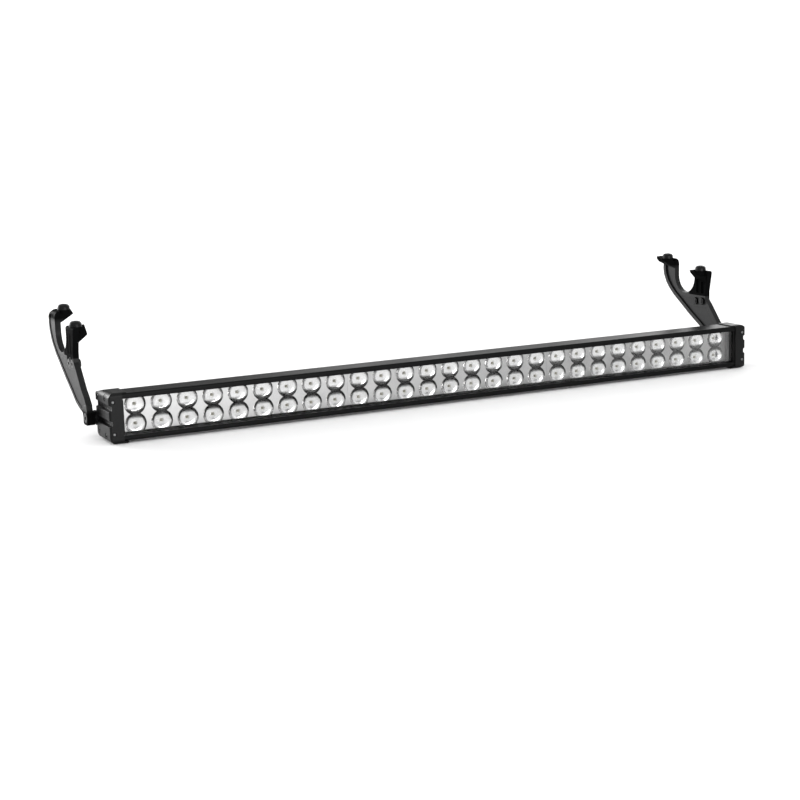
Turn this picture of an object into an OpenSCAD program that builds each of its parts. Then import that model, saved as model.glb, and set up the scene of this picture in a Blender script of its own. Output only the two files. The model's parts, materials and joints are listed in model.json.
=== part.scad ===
// Double-row LED light bar with two fork-shaped pivoting support arms.
// Millimetres, +Z up, -Y is the lit front, X runs along the bar. The end caps stand on Z = 0.

/* [Light rows] */
// LED columns along the bar
columns = 27; // [27]
// Column spacing
pitch = 35; // [35]
// Half the distance between the two rows
row_half = 12.7; // [11:0.1:14]
// Height of the middle of the rows
row_mid = 32.6; // [30:0.1:36]
// Opening radius of one reflector cup
cup_r = 14.4; // [12:0.1:15]

/* [Housing] */
// Length of the extrusion
housing_len = 955; // [955]
// Underside of the extrusion
housing_z0 = 3; // [2:0.5:4]
// Height of the extrusion
housing_h = 61; // [58:0.5:64]
// Wall thickness of the extrusion
wall = 3; // [2.5:0.5:4]
// Height of the front lips
lip_h = 7; // [6:0.5:8]
// Depth of the flat top face
top_depth = 34.6; // [32:0.1:38]
// Depth to the tips of the rear fins
fin_depth = 51; // [48:0.5:52]

/* [End caps] */
// Height of an end cap
cap_h = 65.5; // [64:0.5:68]
// Depth of an end cap
cap_depth = 55; // [52:0.5:58]
// Outer face of an end cap
cap_x = 495.5; // [495:0.5:498]

/* [Arms] */
// Pivot distance behind the front lips
pivot_y = 64; // [62:0.5:66]
// Pivot height
pivot_z = 25.5; // [24:0.5:28]
// Thickness of an arm
arm_t = 8; // [6:0.5:10]
// Outer face of an arm
arm_x = 508; // [506:0.5:510]
// Radius of the tube saddle, for a 2 inch tube
saddle_r = 25.6; // [25.5:0.1:26]
// Saddle distance behind the front lips
saddle_y = 158; // [156:0.5:160]
// Saddle height
saddle_z = 124; // [122:0.5:126]

/* [Hidden] */
$fn = 48;

// Y of the front lips, so that the whole part is centred on Y = 0
front_y = -107;
eps = 0.5;

// Housing section, measured back from the front lips
hx = housing_len / 2;
hz0 = housing_z0;
hz1 = housing_z0 + housing_h;
iz0 = hz0 + wall;
iz1 = hz1 - wall;
lip_y = 3;
groove_y = 7.6;
rib_y = 9.6;
tray_y = 20.2;
tray_t = 5;
board_t = 1.6;
board_y = tray_y + tray_t;
mid_y = board_y + board_t;
mid_t = 4.4;
back_y = mid_y + mid_t;
chamber_z = [22, 43];
chamber_wall = 2;
fin_t = 2.2;
fin_z = [9.5, 15.5, 49.5, 55.5];
boss_front = [[17, 8.4], [17, 57.5]];
boss_r = 2.8;
boss_rear = [[46, 12], [46, 55]];
boss_rear_r = 4;
boss_hole_r = 1.65;
port_x = 300;
port_z = 32.5;
port_r = 6.05;

// Lens and its channels
lens_y = 3.8;
lens_t = 3;
lens_half = hx - 1.3;
lens_z = [8.2, 58.8];
gasket_half = hx - 0.2;
pad_x = hx - 3.5;

// Reflector trays
tray_half = 26;
tray_cols = columns / 3;
tray_len = tray_cols * pitch;
end_web = 1.2;
cup_depth = 3.2;
cup_hole_r = 2.9;
cup_power = 6;
cup_steps = 12;
board_hole_x = [1, 3, 6, 8];

// End caps
cap_in = hx + 1.5;
sleeve_x = 471.5;
cap_front = -1.5;
groove_z = [26.5, 46];
groove_h = 8.6;
groove_d = 4;
cap_edge_r = 8;
cap_corner_r = 5;
cap_side_r = 3;
socket_z = boss_rear[1][1] + boss_rear_r + 0.3;
slope_top = [[top_depth - 0.6, cap_h], [cap_depth + 0.5, 60.3]];
front_screw_x = 490;
front_screw_z = [12.8, 54];
head_r = 4;

// Lugs and pivots
lug_x = [471.4, 496.2];
lug_r = 9;
lug_screw_z = [11.6, 44];
bolt_r = 4;
washer_t = 1.5;
eye_x = lug_x[1] + washer_t + 0.3;
eye_half = 9;
eye_round = 3;
eye_bore_r = bolt_r + 0.06;
head_seat_x = arm_x - 5;
pivot_head_r = 6.5;

// Arms
arm_in = arm_x - arm_t;
rim_out = 4.5;
rim_in = 6;
pocket_depth = 2.6;
seam_z = 97;
seam_y = 146;
lap_x = arm_x - arm_t / 2;
jaw_top = 137;
rear_top = 150.5;
bend_r = [3, 8.5];
tab_top = [jaw_top, rear_top];
tab_bolt_x = [499, 492.5];
tab_bolt_y = [115.8, 193];
tab_bolt_r = 3;
tab_hole = 7.8;
washer_r = 8.5;
// Ears of the two prongs, seen from the front: inner end and underside
tab_front_view = [
    [[506, 118], [506, jaw_top], [496, jaw_top], [496, 145], [484, 145], [485, 137], [488.5, 126.5],
        [500, 118]],
    [[506, 134], [506, rear_top], [492.5, rear_top], [492.5, 155], [481.5, 155], [482.3, 145], [489, 140.6],
        [500, 134]]];
// Seen from the end: the upper faces rise to the rear
tab_end_view = [
    [[102, 117], [110, 119], [125, 134], [125, 137.8], [102, 128.6]],
    [[184.2, 134.5], [194, 139], [208, 149], [208, 153], [184.2, 146]]];
finger = [[112, 89], [127.5, 88]];
finger_r = 6.3;
jaw_screw_r = 3;

rear_edge = [[74.6, 31], [90, 35], [105, 40.4], [120.4, 50.5], [145.7, 65.2], [168, 79.9], [187, 92],
    [199.3, 102.1], [206.8, 110.5], [213.4, 122.4], [215.5, 132.5], [214.4, 140.5], [211, 146],
    [205.5, rear_top]];
front_edge = [[104.2, seam_z], [104.2, 92], [97.1, 84.9], [86, 72.3], [74.9, 59.6], [65.8, 52.6],
    [57, 43], [55.4, 36]];
arm_outline = concat([[57, 18], [71, 18]], rear_edge, [[saddle_y + saddle_r, rear_top],
    [saddle_y + saddle_r, saddle_z], [seam_y, saddle_z], [seam_y, seam_z]], front_edge);
pocket_outline = concat([[57, 18], [71, 18]], rear_edge, [[150, rear_top], [150, seam_z]], front_edge);
jaw_outline = [[104.2, seam_z], [seam_y, seam_z], [seam_y, saddle_z],
    [saddle_y - saddle_r, saddle_z], [saddle_y - saddle_r, jaw_top], [98.6, jaw_top],
    [98.6, 133], [101.2, 119.3], [104.2, 105]];

function unit(v) = v / norm(v);
function inward(a, b) = let (d = unit(b - a)) [-d[1], d[0]];
// Outline moved inward by t, for a counter-clockwise list of points
function inset(pts, t) = let (n = len(pts)) [for (i = [0:n - 1])
    let (m = inward(pts[(i + n - 1) % n], pts[i]), k = inward(pts[i], pts[(i + 1) % n]))
    pts[i] + (m + k) * t / (1 + m * k)];
function column_x(i) = (i - (columns - 1) / 2) * pitch;
function tray_x0(t) = -columns * pitch / 2 + t * tray_len;

module place() translate([0, front_y, 0]) children();
module side(s) mirror([s > 0 ? 0 : 1, 0, 0]) children();
module box(a, b) translate(a) cube(b - a);
module rod_x(r, x0, x1, y, z) translate([x0, y, z]) rotate([0, 90, 0]) cylinder(r = r, h = x1 - x0);
module rod_y(r, y0, y1, x, z) translate([x, y0, z]) rotate([-90, 0, 0]) cylinder(r = r, h = y1 - y0);
module rod_z(r, z0, z1, x, y) translate([x, y, z0]) cylinder(r = r, h = z1 - z0);
module slab_x(pts, x0, x1) translate([x0, 0, 0]) rotate([90, 0, 90]) linear_extrude(x1 - x0) polygon(pts);
module slab_y(pts, y0, y1) translate([0, y1, 0]) rotate([90, 0, 0]) linear_extrude(y1 - y0) polygon(pts);
module hex_bar(af, h) cylinder(d = af / cos(30), h = h, $fn = 6);
module hex_x(af, x0, x1, y, z) translate([x0, y, z]) rotate([0, 90, 0]) hex_bar(af, x1 - x0);
module hex_y(af, y0, y1, x, z) translate([x, y0, z]) rotate([-90, 0, 0]) hex_bar(af, y1 - y0);
module hex_z(af, z0, z1, x, y) translate([x, y, z0]) hex_bar(af, z1 - z0);

// Button head: a low dome with a flat crown, along +Z from z = 0
module button_head(r, h) rotate_extrude() polygon([[0, 0], [r, 0], [r, h * 0.35], [r * 0.93, h * 0.62],
    [r * 0.75, h * 0.86], [r * 0.5, h], [0, h]]);

// ---- Extrusion, lens and optics ----

module strip(y0, y1, z0, z1) box([-hx, y0, z0], [hx, y1, z1]);

module housing_front_corner(z, up) {
    // Rounds one front edge of the extrusion
    difference() {
        box([-hx - eps, -eps, up ? z - 2.5 : z - eps], [hx + eps, 2.5, up ? z + eps : z + 2.5]);
        rod_x(2.5, -hx - 2 * eps, hx + 2 * eps, 2.5, up ? z - 2.5 : z + 2.5);
    }
}

module housing() color([0.09, 0.09, 0.1]) place() difference() {
    union() {
        strip(0, top_depth, iz1, hz1);
        strip(0, back_y, hz0, iz0);
        strip(0, lip_y, hz1 - lip_h, hz1);
        strip(0, lip_y, hz0, hz0 + lip_h);
        strip(groove_y, rib_y, hz1 - lip_h, hz1 - 1);
        strip(groove_y, rib_y, hz0 + 1, hz0 + lip_h);
        strip(mid_y, back_y, hz0 + 1, hz1 - 1);
        for (z = fin_z) strip(back_y - eps, fin_depth, z, z + fin_t);
        strip(back_y - eps, fin_depth, chamber_z[0], chamber_z[1]);
        for (p = boss_front) rod_x(boss_r, -hx, hx, p[0], p[1]);
        strip(boss_front[0][0] - boss_r, boss_front[0][0] + boss_r, hz0 + 1, boss_front[0][1]);
        strip(boss_front[1][0] - boss_r, boss_front[1][0] + boss_r, boss_front[1][1], hz1 - 1);
        for (p = boss_rear) rod_x(boss_rear_r, -hx, hx, p[0], p[1]);
    }
    housing_front_corner(hz1, true);
    housing_front_corner(hz0, false);
    slab_x([[top_depth - 1.5, hz1 + eps], [top_depth + eps, hz1 + eps], [top_depth + eps, hz1 - 1.5]],
        -hx - eps, hx + eps);
    box([-hx - eps, back_y, chamber_z[0] + chamber_wall],
        [hx + eps, fin_depth - chamber_wall, chamber_z[1] - chamber_wall]);
    for (p = concat(boss_front, boss_rear)) rod_x(boss_hole_r, -hx - eps, hx + eps, p[0], p[1]);
    for (x = [-port_x, port_x]) rod_y(port_r, fin_depth - chamber_wall - eps, fin_depth + eps, x, port_z);
    for (t = [0:2], i = board_hole_x)
        rod_y(1.25, mid_y - eps, back_y + eps, tray_x0(t) + i * pitch, row_mid);
}

module lens() color([0.85, 0.92, 0.97, 0.3]) place()
    box([-lens_half, lens_y, lens_z[0]], [lens_half, lens_y + lens_t, lens_z[1]]);

// One closed ring with a slot for the edges of the lens, and a pad behind each end of the lens
module lens_gasket() color([0.04, 0.04, 0.04]) place() {
    difference() {
        box([-gasket_half, lip_y + 0.05, iz0 + 0.1], [gasket_half, groove_y - 0.05, iz1 - 0.1]);
        box([-lens_half, lens_y, lens_z[0]], [lens_half, lens_y + lens_t, lens_z[1]]);
        box([0.3 - lens_half, lip_y - eps, hz0 + lip_h - 0.2],
            [lens_half - 0.3, groove_y + eps, hz1 - lip_h + 0.2]);
    }
    for (s = [-1, 1]) side(s) box([pad_x, lens_y + lens_t, 11.6], [gasket_half, tray_y + 3.8, 54.3]);
}

// Shallow dish with its emitter hole, opening towards -Y at y = 0
module cup_cutter() rotate([-90, 0, 0]) rotate_extrude() polygon(concat([[0, -eps], [cup_r, -eps]],
    [for (i = [0:cup_steps]) let (r = cup_r - (cup_r - cup_hole_r) * i / cup_steps)
        [r, cup_depth * (1 - (pow(r, cup_power) - pow(cup_hole_r, cup_power))
            / (pow(cup_r, cup_power) - pow(cup_hole_r, cup_power)))]],
    [[cup_hole_r, tray_t + eps], [0, tray_t + eps]]));

module reflector(t) color([0.82, 0.83, 0.85]) place() difference() {
    box([tray_x0(t) + (t == 0 ? -end_web : 0.1), tray_y, row_mid - tray_half],
        [tray_x0(t) + tray_len + (t == 2 ? end_web : -0.1), tray_y + tray_t, row_mid + tray_half]);
    for (i = [0:tray_cols - 1], z = [-row_half, row_half])
        translate([column_x(i + t * tray_cols), tray_y, row_mid + z]) cup_cutter();
    for (i = board_hole_x) rod_y(3.1, board_y - 2.4, board_y + eps, tray_x0(t) + i * pitch, row_mid);
}

module led_board(t) color([0.9, 0.9, 0.88]) place() difference() {
    box([tray_x0(t) + 0.5, board_y, 9], [tray_x0(t) + tray_len - 0.5, board_y + board_t, 56]);
    for (i = board_hole_x) rod_y(1.6, board_y - eps, board_y + 2 * board_t, tray_x0(t) + i * pitch, row_mid);
}

module led_emitters(t) color([0.95, 0.85, 0.35]) place()
    for (i = [0:tray_cols - 1], z = [-row_half, row_half])
        translate([column_x(i + t * tray_cols), board_y, row_mid + z]) {
            translate([-1.75, -1.1, -1.75]) cube([3.5, 1.1, 3.5]);
            translate([0, -1.6, 0]) sphere(r = 1.5);
        }

module board_screws() color([0.7, 0.7, 0.7]) place() for (t = [0:2], i = board_hole_x) {
    rod_y(2.75, board_y - 2, board_y, tray_x0(t) + i * pitch, row_mid);
    rod_y(1.25, board_y - 1, back_y - 0.4, tray_x0(t) + i * pitch, row_mid);
}

// ---- Driver in the rear channel ----

module driver_board() color([0.05, 0.3, 0.15]) place()
    box([-60, back_y, chamber_z[0] + 3], [60, back_y + board_t, chamber_z[1] - 3]);

module driver_chokes() color([0.25, 0.22, 0.2]) place() for (x = [-40, 38]) difference() {
    rod_y(6.5, back_y + board_t, back_y + 9, x, port_z);
    rod_y(2.6, back_y + 4, back_y + 9 + eps, x, port_z);
}

module driver_capacitors() color([0.1, 0.1, 0.35]) place() for (x = [-18, -6, 6])
    rod_y(4, back_y + board_t, back_y + 11, x, port_z);

// ---- End caps ----

module end_gasket(s) color([0.05, 0.05, 0.05]) place() side(s) difference() {
    union() {
        box([hx, 0.1, hz0 + 0.1], [cap_in, top_depth, hz1 - 0.1]);
        box([hx, 0.1, hz0 + 0.1], [cap_in, fin_depth, socket_z - 0.1]);
    }
    for (p = concat(boss_front, boss_rear)) rod_x(2.1, hx - eps, cap_in + eps, p[0], p[1]);
    box([hx - eps, back_y + 2, chamber_z[0] + 2],
        [cap_in + eps, fin_depth - 2, chamber_z[1] - 2]);
}

module cap_blank() intersection() {
    // Seen from the front: rounded outer edges and the two side grooves
    difference() {
        box([sleeve_x, cap_front, 0], [cap_x, cap_depth, cap_h]);
        for (z = [0, cap_h]) difference() {
            box([cap_x - cap_edge_r, cap_front - eps, z == 0 ? -eps : z - cap_edge_r],
                [cap_x + eps, cap_depth + eps, z == 0 ? cap_edge_r : z + eps]);
            rod_y(cap_edge_r, cap_front - 2 * eps, cap_depth + 2 * eps, cap_x - cap_edge_r,
                z == 0 ? cap_edge_r : z - cap_edge_r);
        }
        for (z = groove_z) slab_y([[cap_x - groove_d, z - groove_h / 2 + 1.6],
            [cap_x + eps, z - groove_h / 2 - 0.2], [cap_x + eps, z + groove_h / 2 + 0.2],
            [cap_x - groove_d, z + groove_h / 2 - 1.6]], cap_front - eps, cap_depth + eps);
        // Rounded upright front edge
        difference() {
            box([cap_x - cap_side_r, cap_front - eps, -eps],
                [cap_x + eps, cap_front + cap_side_r, cap_h + eps]);
            rod_z(cap_side_r, -1, cap_h + 1, cap_x - cap_side_r, cap_front + cap_side_r);
        }
    }
    // Seen from the end: rounded front corners
    union() {
        box([sleeve_x - 1, cap_front + cap_corner_r, 0], [cap_x + 1, cap_depth, cap_h]);
        box([sleeve_x - 1, cap_front, cap_corner_r], [cap_x + 1, cap_depth, cap_h - cap_corner_r]);
        for (z = [cap_corner_r, cap_h - cap_corner_r])
            rod_x(cap_corner_r, sleeve_x - 1, cap_x + 1, cap_front + cap_corner_r, z);
    }
}

module end_cap(s) color([0.1, 0.1, 0.11]) place() side(s) difference() {
    cap_blank();
    // Rounded lower rear corner
    difference() {
        box([sleeve_x - 1, cap_depth - 9, -eps], [cap_x + 1, cap_depth + eps, 9]);
        rod_x(9, sleeve_x - 2, cap_x + 2, cap_depth - 9, 9);
    }
    // Top face that falls away to the rear
    slab_x([slope_top[0], slope_top[1], [slope_top[1][0], cap_h + eps], [slope_top[0][0], cap_h + eps]],
        sleeve_x - 1, cap_x + 1);
    // Socket for the extrusion, open towards the window
    box([sleeve_x - eps, -0.05, hz0 - 0.05], [cap_in, top_depth + 0.1, hz1 + 0.05]);
    box([sleeve_x - eps, -0.05, hz0 - 0.05], [cap_in, fin_depth + 0.1, socket_z]);
    box([sleeve_x - eps, cap_front - eps, hz0 - 0.05], [hx - 0.2, 1, hz1 + 0.05]);
    // Weight relief
    box([cap_in - eps, 24, 18], [cap_in + 9, 44, 42]);
    for (p = concat(boss_front, boss_rear)) {
        rod_x(2.1, cap_in - eps, cap_x, p[0], p[1]);
        rod_x(head_r + 0.3, cap_x - 2.4, cap_x + eps, p[0], p[1]);
    }
    for (z = front_screw_z) {
        rod_y(1.25, 4, 12, front_screw_x, z);
        rod_y(2.4, cap_front - eps, cap_front + 1.6, front_screw_x, z);
        rod_y(1.5, 0, 5, front_screw_x, z);
    }
    for (z = lug_screw_z) rod_y(2, cap_depth - 6.6, cap_depth + eps, 484, z);
}

module cap_side_screws(s) color([0.55, 0.55, 0.57]) place() side(s) for (p = concat(boss_front, boss_rear))
    difference() {
        union() {
            rod_x(boss_hole_r, hx - 14, cap_x - 1, p[0], p[1]);
            translate([cap_x - 2.4, p[0], p[1]]) rotate([0, 90, 0]) button_head(head_r, 2.4);
        }
        hex_x(2.5, cap_x - 1.2, cap_x + 1, p[0], p[1]);
    }

module cap_front_screws(s) color([0.6, 0.6, 0.62]) place() side(s) for (z = front_screw_z) difference() {
    union() {
        rod_y(1.25, cap_front + 1, 11, front_screw_x, z);
        translate([front_screw_x, cap_front + 1.6, z]) rotate([90, 0, 0]) button_head(2.2, 1.6);
    }
    hex_y(1.5, cap_front - 1, cap_front + 0.8, front_screw_x, z);
}

// ---- Rear gland and vent ----

module gland_body() color([0.08, 0.08, 0.08]) place() difference() {
    union() {
        rod_y(5.9, fin_depth - 6.2, fin_depth + 1, port_x, port_z);
        hex_y(17, fin_depth, fin_depth + 4.5, port_x, port_z);
        rod_y(6.8, fin_depth + 4, fin_depth + 10, port_x, port_z);
    }
    rod_y(3.4, fin_depth - 7, fin_depth + 5.5, port_x, port_z);
    rod_y(5.4, fin_depth + 5, fin_depth + 11, port_x, port_z);
}

module gland_seal() color([0.02, 0.02, 0.02]) place() difference() {
    rod_y(5.4, fin_depth + 5, fin_depth + 11, port_x, port_z);
    rod_y(3, fin_depth + 4, fin_depth + 12, port_x, port_z);
}

module gland_nut() color([0.08, 0.08, 0.08]) place() difference() {
    union() {
        hex_y(17, fin_depth + 4.6, fin_depth + 12, port_x, port_z);
        translate([port_x, fin_depth + 11.8, port_z]) rotate([-90, 0, 0])
            cylinder(r1 = 8.4, r2 = 5.6, h = 4.2);
    }
    rod_y(6.8, fin_depth + 4, fin_depth + 11, port_x, port_z);
    rod_y(3.6, fin_depth + 10, fin_depth + 17, port_x, port_z);
}

module gland_locknut() color([0.08, 0.08, 0.08]) place() difference() {
    hex_y(15, fin_depth - chamber_wall - 4, fin_depth - chamber_wall, port_x, port_z);
    rod_y(5.9, fin_depth - 8, fin_depth, port_x, port_z);
}

module vent_plug() color([0.1, 0.1, 0.1]) place() difference() {
    union() {
        rod_y(5.9, fin_depth - 5, fin_depth + 1, -port_x, port_z);
        rod_y(8.5, fin_depth, fin_depth + 4.5, -port_x, port_z);
    }
    rod_y(4, fin_depth - 6, fin_depth + 2.6, -port_x, port_z);
    for (a = [0, 60, 120]) translate([-port_x, 0, port_z]) rotate([0, a, 0])
        box([-9, fin_depth + 1.2, -1], [9, fin_depth + 2.4, 1]);
}

module vent_membrane() color([0.9, 0.9, 0.9]) place()
    rod_y(4, fin_depth + 0.2, fin_depth + 0.8, -port_x, port_z);

// ---- Lugs and pivots ----

module pivot_lug(s) color([0.08, 0.08, 0.09]) place() side(s) difference() {
    union() {
        box([lug_x[0], cap_depth, pivot_z - lug_r], [lug_x[1], pivot_y, pivot_z + lug_r]);
        rod_x(lug_r, lug_x[0], lug_x[1], pivot_y, pivot_z);
        box([476, cap_depth, 7.6], [492, cap_depth + 4, 48.5]);
    }
    box([lug_x[0] - 1, cap_depth - 10, 0], [lug_x[1] + 1, cap_depth, cap_h]);
    rod_x(bolt_r, lug_x[0] - eps, lug_x[1] + eps, pivot_y, pivot_z);
    for (z = lug_screw_z) rod_y(2.1, cap_depth - eps, cap_depth + 5, 484, z);
}

module lug_screws(s) color([0.35, 0.35, 0.36]) place() side(s) for (z = lug_screw_z) difference() {
    union() {
        rod_y(2, cap_depth - 6.4, cap_depth + 4.5, 484, z);
        translate([484, cap_depth + 4, z]) rotate([-90, 0, 0]) button_head(3.8, 2.4);
    }
    hex_y(2.5, cap_depth + 5.2, cap_depth + 8, 484, z);
}

module pivot_washers(s) color([0.5, 0.5, 0.52]) place() side(s) {
    difference() {
        rod_x(8.5, lug_x[0] - 1.6, lug_x[0], pivot_y, pivot_z);
        rod_x(bolt_r + 0.2, lug_x[0] - 3, lug_x[0] + 1, pivot_y, pivot_z);
    }
    difference() {
        rod_x(8.5, lug_x[1], lug_x[1] + washer_t, pivot_y, pivot_z);
        rod_x(bolt_r + 0.2, lug_x[1] - 1, lug_x[1] + washer_t + 1, pivot_y, pivot_z);
    }
}

module pivot_bolt(s) color([0.3, 0.3, 0.31]) place() side(s) difference() {
    union() {
        rod_x(bolt_r, lug_x[0] - 10.5, head_seat_x + 1, pivot_y, pivot_z);
        rod_x(pivot_head_r, head_seat_x + 0.3, arm_x, pivot_y, pivot_z);
    }
    hex_x(5, arm_x - 3, arm_x + 1, pivot_y, pivot_z);
}

module pivot_nut(s) color([0.45, 0.45, 0.47]) place() side(s) difference() {
    hex_x(13, lug_x[0] - 8.6, lug_x[0] - 1.6, pivot_y, pivot_z);
    rod_x(bolt_r, lug_x[0] - 12, lug_x[0], pivot_y, pivot_z);
}

// ---- Arms ----

// Ear of prong i: a slanted wedge with a round boss that carries the screw
module tab(i) intersection() {
    slab_y(tab_front_view[i], tab_end_view[i][0][0], tab_end_view[i][2][0]);
    union() {
        slab_x(tab_end_view[i], 470, arm_x);
        intersection() {
            slab_x([tab_end_view[i][0], tab_end_view[i][1], tab_end_view[i][2],
                [tab_end_view[i][2][0], tab_top[i]], [tab_end_view[i][0][0], tab_top[i]]], 470, arm_x);
            rod_z(washer_r + 0.5, tab_top[i] - 20, tab_top[i], tab_bolt_x[i], tab_bolt_y[i]);
        }
    }
}

// Screw hole of prong i with a flat seat for the washer
module tab_hole_cutter(i) {
    rod_z(tab_bolt_r, tab_top[i] - tab_hole, tab_top[i] + 1, tab_bolt_x[i], tab_bolt_y[i]);
    rod_z(washer_r + 0.5, tab_top[i], tab_top[i] + 12, tab_bolt_x[i], tab_bolt_y[i]);
}

// Rounds the outer upper edge of prong i
module bend_cutter(i, y0, y1) let (r = bend_r[i], top = tab_top[i]) difference() {
    box([arm_x - r, y0, top - r], [arm_x + 1, y1, top + 1]);
    rod_y(r, y0 - 1, y1 + 1, arm_x - r, top - r);
}

// Square-ended eye round the pivot bolt
module eye_block(x0, x1) {
    box([x0, pivot_y - eye_half + eye_round, pivot_z - eye_half],
        [x1, pivot_y + eye_half - eye_round, pivot_z + eye_half]);
    box([x0, pivot_y - eye_half, pivot_z - eye_half + eye_round],
        [x1, pivot_y + eye_half, pivot_z + eye_half - eye_round]);
    for (y = [-1, 1], z = [-1, 1]) rod_x(eye_round, x0, x1, pivot_y + y * (eye_half - eye_round),
        pivot_z + z * (eye_half - eye_round));
}

module saddle_cutter(x0, x1) {
    rod_x(saddle_r, x0, x1, saddle_y, saddle_z, $fn = 96);
    box([x0, saddle_y - saddle_r, saddle_z], [x1, saddle_y + saddle_r, rear_top + 20]);
}

// Pocket shape between the rims, from x0 to x1
module arm_pocket(x0, x1, t) difference() {
    slab_x(inset(pocket_outline, t), x0, x1);
    rod_x(saddle_r + t + 0.5, x0 - 1, x1 + 1, saddle_y, saddle_z);
    box([x0 - 1, seam_y - 30, saddle_z], [x1 + 1, saddle_y + saddle_r + t + 0.5, rear_top + 1]);
    rod_x(eye_half + 7, x0 - 1, x1 + 1, pivot_y, pivot_z);
    box([x0 - 1, 95, 79.5], [x1 + 1, 137, seam_z + 2]);
    box([x0 - 1, 95, 92.5], [x1 + 1, seam_y + 1, seam_z + 8]);
}

module lap(x0, x1) for (f = finger) {
    box([x0, f[0] - finger_r, f[1]], [x1, f[0] + finger_r, seam_z]);
    rod_x(finger_r, x0, x1, f[0], f[1]);
}

module jaw_holes() for (f = finger) {
    rod_x(jaw_screw_r, arm_in - 1, arm_x + 1, f[0], f[1]);
    translate([arm_x - 3, f[0], f[1]]) rotate([0, 90, 0])
        cylinder(r1 = jaw_screw_r, r2 = jaw_screw_r + 3.1, h = 3.1);
}

module arm(s) color([0.3, 0.3, 0.31]) place() side(s) difference() {
    union() {
        difference() {
            slab_x(arm_outline, arm_in, arm_x);
            arm_pocket(arm_in - 1, arm_in + pocket_depth, rim_in);
            arm_pocket(arm_x - 1, arm_x + 1, rim_out);
        }
        eye_block(eye_x, arm_x);
        tab(1);
    }
    bend_cutter(1, saddle_y, 230);
    saddle_cutter(arm_in - 30, arm_x + 1);
    lap(lap_x, arm_x + 1);
    jaw_holes();
    rod_x(eye_bore_r, eye_x - 1, arm_x, pivot_y, pivot_z);
    rod_x(pivot_head_r + 0.3, head_seat_x, arm_x + 1, pivot_y, pivot_z);
    tab_hole_cutter(1);
}

module jaw(s) color([0.06, 0.06, 0.06]) place() side(s) difference() {
    union() {
        difference() {
            slab_x(jaw_outline, arm_in, arm_x);
            // Shallow panels on both faces
            for (x = [[arm_in - 1, arm_in + 2.4], [arm_x - 0.5, arm_x + 1]]) difference() {
                slab_x([[108.5, 101], [128, 101], [128, 128], [103.5, 128], [105.5, 119]], x[0], x[1]);
                box([x[0] - 1, 115.8, 100], [x[1] + 1, 118.2, 129]);
            }
        }
        lap(lap_x, arm_x);
        tab(0);
    }
    bend_cutter(0, 90, saddle_y);
    saddle_cutter(arm_in - 30, arm_x + 1);
    jaw_holes();
    tab_hole_cutter(0);
}

module jaw_screws(s) color([0.3, 0.3, 0.31]) place() side(s) for (f = finger) difference() {
    union() {
        rod_x(jaw_screw_r, arm_in - 3.8, arm_x - 2, f[0], f[1]);
        translate([arm_x - 3, f[0], f[1]]) rotate([0, 90, 0])
            cylinder(r1 = jaw_screw_r, r2 = jaw_screw_r + 3, h = 3);
    }
    hex_x(4, arm_x - 2.4, arm_x + 1, f[0], f[1]);
}

module jaw_nuts(s) color([0.25, 0.25, 0.26]) place() side(s) for (f = finger) difference() {
    hex_x(10, arm_in - 3.2, arm_in, f[0], f[1]);
    rod_x(jaw_screw_r, arm_in - 7, arm_in + 1, f[0], f[1]);
}

module tab_bolts(s) color([0.12, 0.12, 0.12]) place() side(s) for (i = [0, 1]) difference() {
    union() {
        rod_z(tab_bolt_r, tab_top[i] - tab_hole + 0.5, tab_top[i] + 2, tab_bolt_x[i], tab_bolt_y[i]);
        translate([tab_bolt_x[i], tab_bolt_y[i], tab_top[i] + 1.4]) button_head(8.2, 6);
    }
    hex_z(4, tab_top[i] + 5, tab_top[i] + 9, tab_bolt_x[i], tab_bolt_y[i]);
}

module tab_washers(s) color([0.16, 0.16, 0.16]) place() side(s) for (i = [0, 1]) difference() {
    rod_z(washer_r, tab_top[i], tab_top[i] + 1.4, tab_bolt_x[i], tab_bolt_y[i]);
    rod_z(tab_bolt_r + 0.2, tab_top[i] - 1, tab_top[i] + 3, tab_bolt_x[i], tab_bolt_y[i]);
}

housing();
lens();
lens_gasket();
reflector(0);  // reflector_left
reflector(1);  // reflector_centre
reflector(2);  // reflector_right
led_board(0);  // led_board_left
led_board(1);  // led_board_centre
led_board(2);  // led_board_right
led_emitters(0);  // led_emitters_left
led_emitters(1);  // led_emitters_centre
led_emitters(2);  // led_emitters_right
board_screws();
driver_board();
driver_chokes();
driver_capacitors();
end_gasket(-1);  // end_gasket_left
end_gasket(1);  // end_gasket_right
end_cap(-1);  // end_cap_left
end_cap(1);  // end_cap_right
cap_side_screws(-1);  // cap_side_screws_left
cap_side_screws(1);  // cap_side_screws_right
cap_front_screws(-1);  // cap_front_screws_left
cap_front_screws(1);  // cap_front_screws_right
gland_body();
gland_seal();
gland_nut();
gland_locknut();
vent_plug();
vent_membrane();
pivot_lug(-1);  // pivot_lug_left
pivot_lug(1);  // pivot_lug_right
lug_screws(-1);  // lug_screws_left
lug_screws(1);  // lug_screws_right
pivot_washers(-1);  // pivot_washers_left
pivot_washers(1);  // pivot_washers_right
pivot_bolt(-1);  // pivot_bolt_left
pivot_bolt(1);  // pivot_bolt_right
pivot_nut(-1);  // pivot_nut_left
pivot_nut(1);  // pivot_nut_right
arm(-1);  // arm_left
arm(1);  // arm_right
jaw(-1);  // jaw_left
jaw(1);  // jaw_right
jaw_screws(-1);  // jaw_screws_left
jaw_screws(1);  // jaw_screws_right
jaw_nuts(-1);  // jaw_nuts_left
jaw_nuts(1);  // jaw_nuts_right
tab_bolts(-1);  // tab_bolts_left
tab_bolts(1);  // tab_bolts_right
tab_washers(-1);  // tab_washers_left
tab_washers(1);  // tab_washers_right
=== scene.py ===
"""Looks for the LED light bar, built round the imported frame. Metres, in the CAD frame."""

import json
import math

import bpy
from mathutils import Matrix, Vector


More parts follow.
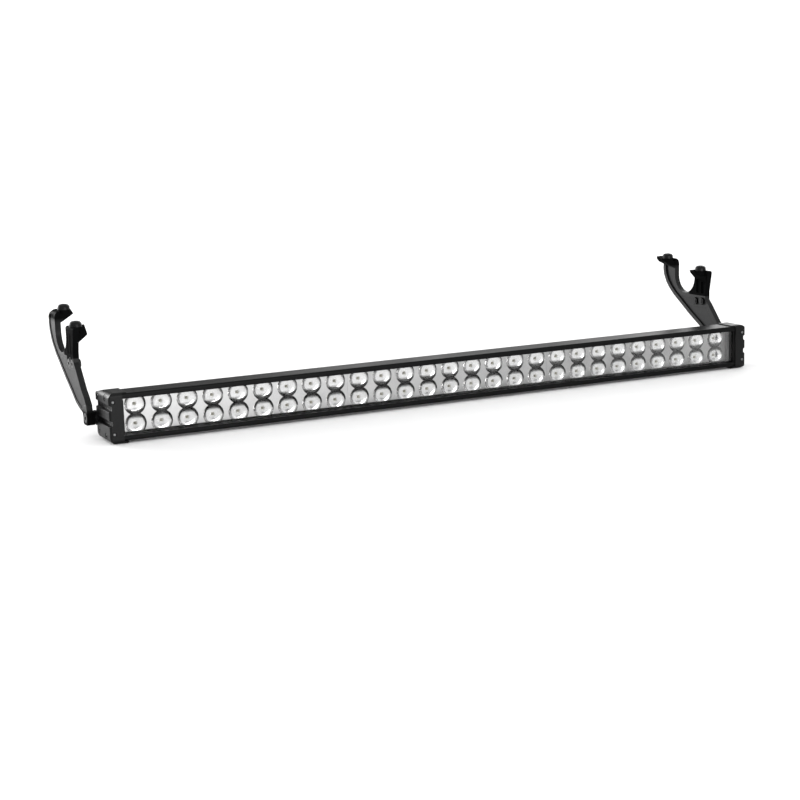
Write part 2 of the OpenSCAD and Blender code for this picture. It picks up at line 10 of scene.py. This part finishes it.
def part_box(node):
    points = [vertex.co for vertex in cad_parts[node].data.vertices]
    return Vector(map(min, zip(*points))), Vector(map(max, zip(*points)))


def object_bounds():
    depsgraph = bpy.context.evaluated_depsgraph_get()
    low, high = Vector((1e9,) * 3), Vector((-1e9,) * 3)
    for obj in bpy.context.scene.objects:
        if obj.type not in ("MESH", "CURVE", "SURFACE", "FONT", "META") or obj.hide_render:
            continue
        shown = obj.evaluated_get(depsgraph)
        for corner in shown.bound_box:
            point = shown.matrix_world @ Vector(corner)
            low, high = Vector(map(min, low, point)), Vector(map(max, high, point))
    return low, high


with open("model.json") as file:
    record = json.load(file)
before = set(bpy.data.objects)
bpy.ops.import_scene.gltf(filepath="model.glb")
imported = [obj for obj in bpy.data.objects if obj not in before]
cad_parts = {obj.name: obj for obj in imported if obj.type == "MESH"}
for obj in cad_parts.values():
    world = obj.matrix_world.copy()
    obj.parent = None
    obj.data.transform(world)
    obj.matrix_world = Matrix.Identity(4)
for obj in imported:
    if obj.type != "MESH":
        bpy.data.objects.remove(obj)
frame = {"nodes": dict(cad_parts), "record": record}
cad_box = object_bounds()
nodes = frame["nodes"]


# ---- Node helpers ----


class Tree:
    """A material's node tree, with short calls for the nodes used here."""

    def __init__(self, name):
        self.mat = bpy.data.materials.new(name)
        self.mat.use_nodes = True
        self.nt = self.mat.node_tree
        self.nt.nodes.clear()
        self.out = self.add("ShaderNodeOutputMaterial")
        self.bsdf = self.add("ShaderNodeBsdfPrincipled")
        self.link(self.bsdf.outputs[0], self.out.inputs[0])
        self.coord = self.add("ShaderNodeTexCoord").outputs["Object"]  # metres

    def add(self, kind, **props):
        node = self.nt.nodes.new(kind)
        for key, value in props.items():
            setattr(node, key, value)
        return node

    def link(self, a, b):
        self.nt.links.new(a, b)

    def put(self, socket, value):
        if isinstance(value, bpy.types.NodeSocket):
            self.link(value, socket)
        else:
            socket.default_value = value

    def stretched(self, scale):
        """The coordinates scaled along each axis."""
        node = self.add("ShaderNodeMapping")
        self.link(self.coord, node.inputs[0])
        node.inputs["Scale"].default_value = scale
        return node.outputs[0]

    def noise(self, scale, detail=2.0, rough=0.5, vector=None):
        node = self.add("ShaderNodeTexNoise")
        self.link(vector or self.coord, node.inputs["Vector"])
        node.inputs["Scale"].default_value = scale
        node.inputs["Detail"].default_value = detail
        node.inputs["Roughness"].default_value = rough
        return node.outputs[0]

    def cells(self, scale):
        node = self.add("ShaderNodeTexVoronoi")
        self.link(self.coord, node.inputs["Vector"])
        node.inputs["Scale"].default_value = scale
        return node.outputs["Distance"]

    def span(self, value, low, high, from_low=0.0, from_high=1.0):
        """A value between from_low and from_high, moved to between low and high."""
        node = self.add("ShaderNodeMapRange")
        self.link(value, node.inputs["Value"])
        ends = {"From Min": from_low, "From Max": from_high, "To Min": low, "To Max": high}
        for key, number in ends.items():
            node.inputs[key].default_value = number
        return node.outputs[0]

    def math(self, op, a, b=0.0):
        node = self.add("ShaderNodeMath", operation=op)
        self.put(node.inputs[0], a)
        self.put(node.inputs[1], b)
        return node.outputs[0]

    def mix(self, factor, a, b):
        node = self.add("ShaderNodeMix", data_type="RGBA")
        self.put(node.inputs["Factor"], factor)
        self.put(node.inputs["A"], a)
        self.put(node.inputs["B"], b)
        return node.outputs["Result"]

    def bump(self, height, strength, distance, normal=None):
        node = self.add("ShaderNodeBump")
        self.link(height, node.inputs["Height"])
        node.inputs["Strength"].default_value = strength
        node.inputs["Distance"].default_value = distance
        if normal:
            self.link(normal, node.inputs["Normal"])
        return node.outputs[0]

    def edge(self, radius):
        """0 on flats, rising towards 1 on outer edges within that radius, and the rounded normal."""
        bevel = self.add("ShaderNodeBevel", samples=4)
        bevel.inputs["Radius"].default_value = radius
        geometry = self.add("ShaderNodeNewGeometry")
        dot = self.add("ShaderNodeVectorMath", operation="DOT_PRODUCT")
        self.link(bevel.outputs[0], dot.inputs[0])
        self.link(geometry.outputs["Normal"], dot.inputs[1])
        return self.span(dot.outputs["Value"], 1.0, 0.0, 0.85, 0.99), bevel.outputs[0]

    def set(self, **values):
        names = {"base": "Base Color", "metal": "Metallic", "rough": "Roughness", "normal": "Normal",
                 "alpha": "Alpha", "coat": "Coat Weight", "coat_rough": "Coat Roughness", "ior": "IOR",
                 "spec": "Specular IOR Level"}
        for key, value in values.items():
            self.put(self.bsdf.inputs[names[key]], value)
        return self.mat


def grey(v, tint=0.0):
    """A grey of level v, a little bluer with a tint above 0."""
    return (v * (1 - tint), v, v * (1 + tint), 1)


def powder_coat(name, level, spec, rough=(0.36, 0.5), band=None):
    """Fine textured powder coat on a casting: orange peel, a finer grain and lighter, rubbed edges.

    With a band, the coat is near black below its first height and above its second.
    """
    peel_depth, fleck_depth = 0.000096, 0.00006
    band_base, band_spec, band_fade = 0.003, 0.004, 0.003
    t = Tree(name)
    wear, rounded = t.edge(0.0007)
    patches = t.noise(22.0, 4.0, 0.6)
    flecks = t.noise(1400.0, 2.0)
    base = t.mix(t.span(patches, 0.0, 1.0, 0.35, 0.65), grey(level * 0.8, 0.03), grey(level * 1.25, 0.03))
    rub = t.math("MULTIPLY", wear, t.span(t.noise(160.0, 3.0), 0.1, 0.7, 0.35, 0.7))
    base = t.mix(rub, base, grey(level * 3.2))
    if band:
        split = t.add("ShaderNodeSeparateXYZ")
        t.link(t.coord, split.inputs[0])
        height = t.math("ADD", split.outputs["Z"], t.span(t.noise(300.0), -0.001, 0.001))
        low = t.span(height, 1.0, 0.0, band[0] - band_fade, band[0] + band_fade)
        high = t.span(height, 0.0, 1.0, band[1] - band_fade, band[1] + band_fade)
        dark = t.math("MAXIMUM", low, high)
        base = t.mix(dark, base, grey(band_base))
        spec = t.math("SUBTRACT", spec, t.math("MULTIPLY", dark, spec - band_spec))
    peel = t.bump(t.noise(420.0, 2.0), 0.35, peel_depth, rounded)
    normal = t.bump(flecks, 0.5, fleck_depth, peel)
    roughness = t.math("ADD", t.span(flecks, -0.05, 0.05), t.span(patches, rough[0], rough[1], 0.3, 0.7))
    return t.set(base=base, metal=0.0, rough=roughness, normal=normal, spec=spec)


def anodised(name, level):
    """Black anodised extrusion: drawn lines along X, faint smudges, crisp lighter edges."""
    t = Tree(name)
    wear, rounded = t.edge(0.0005)
    lines = t.noise(1.0, 3.0, 0.6, t.stretched((3.0, 2600.0, 2600.0)))
    smudge = t.noise(9.0, 5.0, 0.55)
    base = t.mix(t.span(smudge, 0.0, 1.0, 0.3, 0.7), grey(level * 0.85, 0.04), grey(level * 1.2, 0.04))
    base = t.mix(t.span(lines, 0.0, 0.35, 0.45, 0.75), base, grey(level * 1.7, 0.04))
    base = t.mix(t.math("MULTIPLY", wear, 0.35), base, grey(level * 3.5))
    normal = t.bump(lines, 0.25, 0.00003, rounded)
    rough = t.math("ADD", t.span(lines, -0.06, 0.06, 0.3, 0.7), t.span(smudge, 0.3, 0.42, 0.3, 0.7))
    return t.set(base=base, metal=0.0, rough=rough, normal=normal, spec=0.06)


def chrome(name, web_y, mid_z):
    """Vacuum metallised plastic: mirror cups with a slight moulded ripple, satin webs on the front plane.

    The cups turn dark where the two rows meet, at the height mid_z: this is painted shade, a near-black
    colour standing in for the shade inside deep cups.
    """
    dark_to, bright_from = 0.004, 0.0075  # from mid_z
    t = Tree(name)
    haze = t.noise(60.0, 3.0)
    ripple = t.noise(190.0, 1.0)
    split = t.add("ShaderNodeSeparateXYZ")
    t.link(t.coord, split.inputs[0])
    cup = t.span(split.outputs["Y"], 0.0, 1.0, web_y + 0.00005, web_y + 0.00025)
    off_mid = t.math("ABSOLUTE", t.math("SUBTRACT", split.outputs["Z"], mid_z))
    # Painted shade: the mirror colour fades to near black close to the height where the two rows of cups
    # meet.
    painted_shade = t.span(off_mid, 1.0, 0.0, dark_to, bright_from)
    mirror = t.mix(painted_shade, t.mix(haze, grey(0.54), grey(0.78)), grey(0.07))
    base = t.mix(cup, t.mix(haze, grey(0.3), grey(0.38)), mirror)
    rough = t.math("ADD", t.span(haze, 0.08, 0.15, 0.3, 0.7), t.span(cup, 0.27, 0.0))
    return t.set(base=base, metal=1.0, rough=rough, normal=t.bump(ripple, 0.06, 0.00008))


def clear_window(name):
    """Clear polycarbonate sheet: shows what is behind it and mirrors at its own Fresnel share."""
    t = Tree(name)
    fresnel = t.add("ShaderNodeFresnel")
    fresnel.inputs["IOR"].default_value = 1.5
    dust = t.span(t.noise(38.0, 5.0, 0.65), 0.0, 0.02, 0.5, 0.75)
    alpha = t.math("ADD", t.span(fresnel.outputs[0], 0.01, 0.8, 0.04, 1.0), dust)
    t.mat.surface_render_method = "BLENDED"
    return t.set(base=grey(0.95), metal=1.0, rough=t.span(t.noise(70.0, 3.0), 0.02, 0.07), alpha=alpha)


def steel(name, level, rough=0.28):
    """Machined steel: fine turned scratches and a soft variation."""
    t = Tree(name)
    wear, rounded = t.edge(0.00025)
    scratch = t.noise(1.0, 3.0, 0.6, t.stretched((900.0, 2600.0, 2600.0)))
    patch = t.noise(120.0, 3.0)
    base = t.mix(patch, grey(level * 0.85, 0.01), grey(level * 1.12, 0.01))
    base = t.mix(t.math("MULTIPLY", wear, 0.5), base, grey(min(level * 1.5, 0.8)))
    roughness = t.span(scratch, rough - 0.07, rough + 0.1, 0.3, 0.7)
    return t.set(base=base, metal=1.0, rough=roughness, normal=t.bump(scratch, 0.2, 0.00002, rounded))


def rubber(name, level):
    """Seal rubber: dull and grainy, with a faint bloom."""
    t = Tree(name)
    grain = t.noise(900.0, 3.0, 0.6)
    bloom = t.noise(30.0, 4.0)
    base = t.mix(t.span(bloom, 0.0, 1.0, 0.4, 0.75), grey(level), grey(level * 1.9))
    return t.set(base=base, rough=t.span(grain, 0.62, 0.85), normal=t.bump(grain, 0.4, 0.00005), spec=0.1)


def nylon(name, level):
    """Moulded nylon with a fine spark finish."""
    t = Tree(name)
    spark = t.cells(1300.0)
    patch = t.noise(60.0, 3.0)
    base = t.mix(patch, grey(level * 0.8), grey(level * 1.4))
    rounded = t.edge(0.0003)[1]
    return t.set(base=base, rough=t.span(patch, 0.42, 0.58), normal=t.bump(spark, 0.3, 0.00005, rounded))


def board(name, colour, trace):
    """Circuit board: solder mask over faint copper tracks."""
    t = Tree(name)
    tracks = t.add("ShaderNodeTexBrick", offset=0.5, squash=1.0)
    t.link(t.coord, tracks.inputs["Vector"])
    tracks.inputs["Scale"].default_value = 90.0
    tracks.inputs["Mortar Size"].default_value = 0.03
    weave = t.noise(700.0, 2.0)
    base = t.mix(t.math("MULTIPLY", tracks.outputs["Fac"], 0.6), colour, trace)
    base = t.mix(t.math("MULTIPLY", weave, 0.12), base, grey(0.4))
    rough = t.span(weave, 0.3, 0.42)
    return t.set(base=base, rough=rough, normal=t.bump(tracks.outputs["Fac"], 0.2, 0.00004))


def plain_part(name, colour, rough, scale=500.0):
    """A plain moulded or woven part with a fine grain."""
    t = Tree(name)
    grain = t.noise(scale, 3.0)
    dark = (colour[0] * 0.75, colour[1] * 0.75, colour[2] * 0.75, 1)
    base = t.mix(grain, dark, colour)
    return t.set(base=base, rough=t.span(grain, rough - 0.08, rough + 0.08),
                 normal=t.bump(grain, 0.2, 0.00003))


def phosphor(name):
    """LED dome over muted phosphor, unlit."""
    t = Tree(name)
    grain = t.noise(2200.0, 2.0)
    base = t.mix(grain, (0.24, 0.23, 0.19, 1), (0.34, 0.33, 0.28, 1))
    return t.set(base=base, rough=t.span(grain, 0.18, 0.32), coat=0.7, coat_rough=0.05)


EYE_TOP = 0.0095  # above the pivot: just over half the height of an arm's square eye
pivot_height = frame["record"]["behaviour"]["joints"][0]["pos_m"][2]
arm_band = (pivot_height + EYE_TOP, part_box("tab_washers_left")[0][2])
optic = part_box("reflector_centre")

# ---- Looks, by the record's material slots ----

looks = {
    "black_casting": powder_coat("cast_powder_coat", 0.004, 0.12),
    "black_powder_coat": powder_coat("jaw_powder_coat", 0.003, 0.004, rough=(0.55, 0.7)),
    "grey_casting": powder_coat("graphite_coat", 0.006, 0.15, band=arm_band),
    "black_extrusion": anodised("anodised_extrusion", 0.003),
    "clear_lens": clear_window("clear_window"),
    "chrome_optic": chrome("metallised_optic", optic[0][1], (optic[0][2] + optic[1][2]) / 2),
    "circuit_board": board("led_board_mask", (0.82, 0.83, 0.8, 1), (0.62, 0.6, 0.52, 1)),
    "driver_green": board("driver_mask", (0.015, 0.16, 0.05, 1), (0.03, 0.28, 0.1, 1)),
    "component_dark": plain_part("component_body", (0.09, 0.085, 0.08, 1), 0.5),
    "emitter": phosphor("led_phosphor"),
    "black_rubber": rubber("seal_rubber", 0.006),
    "black_nylon": nylon("moulded_nylon", 0.02),
    "membrane": plain_part("vent_membrane_cloth", (0.85, 0.85, 0.83, 1), 0.7, scale=1800.0),
    "bright_screw": steel("stainless_screw", 0.55),
    "dark_screw": steel("dark_zinc_screw", 0.16, 0.35),
    "black_screw": steel("black_oxide", 0.015, 0.38),
}

slots = {s["node"]: s["material_slot"] for s in frame["record"]["subparts"]}
for name, obj in nodes.items():
    for slot in obj.material_slots:
        slot.material = looks[slots[name]]


# ---- Stage, light and camera ----


def stage_floor(radius=14.0, steps=96):
    """A plain pale floor, wide enough to reach the horizon of the view."""
    mesh = bpy.data.meshes.new("stage")
    ring = [(radius * math.cos(2 * math.pi * k / steps), radius * math.sin(2 * math.pi * k / steps), 0)
            for k in range(steps)]
    mesh.from_pydata(ring, [], [list(range(steps))])
    obj = bpy.data.objects.new("stage", mesh)
    bpy.context.collection.objects.link(obj)
    t = Tree("pale_floor")
    t.set(base=t.mix(t.noise(3.0, 3.0), grey(0.9), grey(0.92)), rough=0.8)
    mesh.materials.append(t.mat)
    obj.location.z = cad_box[0][2] - 0.0002


def flag(place, width, height):
    """A black studio card that only mirroring surfaces see: it darkens the bar's top at its left end."""
    mesh = bpy.data.meshes.new("flag")
    half = width / 2
    corners = [(-half, 0, 0), (half, 0, 0), (half, 0, height), (-half, 0, height)]
    mesh.from_pydata(corners, [], [[0, 1, 2, 3]])
    obj = bpy.data.objects.new("flag", mesh)
    bpy.context.collection.objects.link(obj)
    t = Tree("flag_cloth")
    mesh.materials.append(t.set(base=t.mix(t.noise(5.0), grey(0.004), grey(0.006)), rough=0.9, spec=0.05))
    obj.location = place
    obj.visible_camera = False
    obj.visible_diffuse = False
    obj.visible_shadow = False


def lamp(name, place, target, size, power):
    """A soft box of that size in metres and power in watts, turned to face its target."""
    data = bpy.data.lights.new(name, "AREA")
    data.shape = "RECTANGLE"
    data.size, data.size_y = size
    data.energy = power
    obj = bpy.data.objects.new(name, data)
    bpy.context.collection.objects.link(obj)
    obj.location = place
    obj.rotation_euler = (Vector(target) - Vector(place)).to_track_quat("-Z", "Y").to_euler()


CAMERA_AT = (-1.0771, -2.0917, 0.4351)
YAW, PITCH, ROLL = 26.47, 10.77, -1.55  # degrees
LENS, SENSOR = 74.7, 36  # mm


def camera():
    """A long lens to the bar's left, a little above it."""
    yaw, pitch, roll = math.radians(YAW), math.radians(PITCH), math.radians(ROLL)
    ahead = Vector((math.sin(yaw) * math.cos(pitch), math.cos(yaw) * math.cos(pitch), -math.sin(pitch)))
    right = Vector((math.cos(yaw), -math.sin(yaw), 0))
    up = right.cross(ahead)
    x = math.cos(roll) * right + math.sin(roll) * up
    y = -math.sin(roll) * right + math.cos(roll) * up
    data = bpy.data.cameras.new("camera")
    data.sensor_width = SENSOR
    data.lens = LENS
    data.clip_end = 100
    obj = bpy.data.objects.new("camera", data)
    bpy.context.collection.objects.link(obj)
    m = Matrix((x, y, -ahead)).transposed().to_4x4()
    m.translation = Vector(CAMERA_AT)
    obj.matrix_world = m
    bpy.context.scene.camera = obj


stage_floor()
flag((1.5, 9.5, 1.2), 4.4, 2.6)
lamp("left", (-1.8, 3.1, 0.75), (0, 0, 0.1), (2.0, 1.2), 110)
lamp("front", (0.1, -3.0, 0.28), (-0.4, 0, 0.05), (1.3, 0.45), 45)
lamp("back", (3.4, 2.6, 1.5), (0, 0, 0.1), (2.2, 1.4), 30)
world = bpy.data.worlds.new("soft")
world.use_nodes = True
sky = world.node_tree.nodes["Background"]
sky.inputs["Color"].default_value = (1, 1, 1, 1)
sky.inputs["Strength"].default_value = 1.13
bpy.context.scene.world = world
bpy.context.scene.view_settings.view_transform = "Standard"
camera()
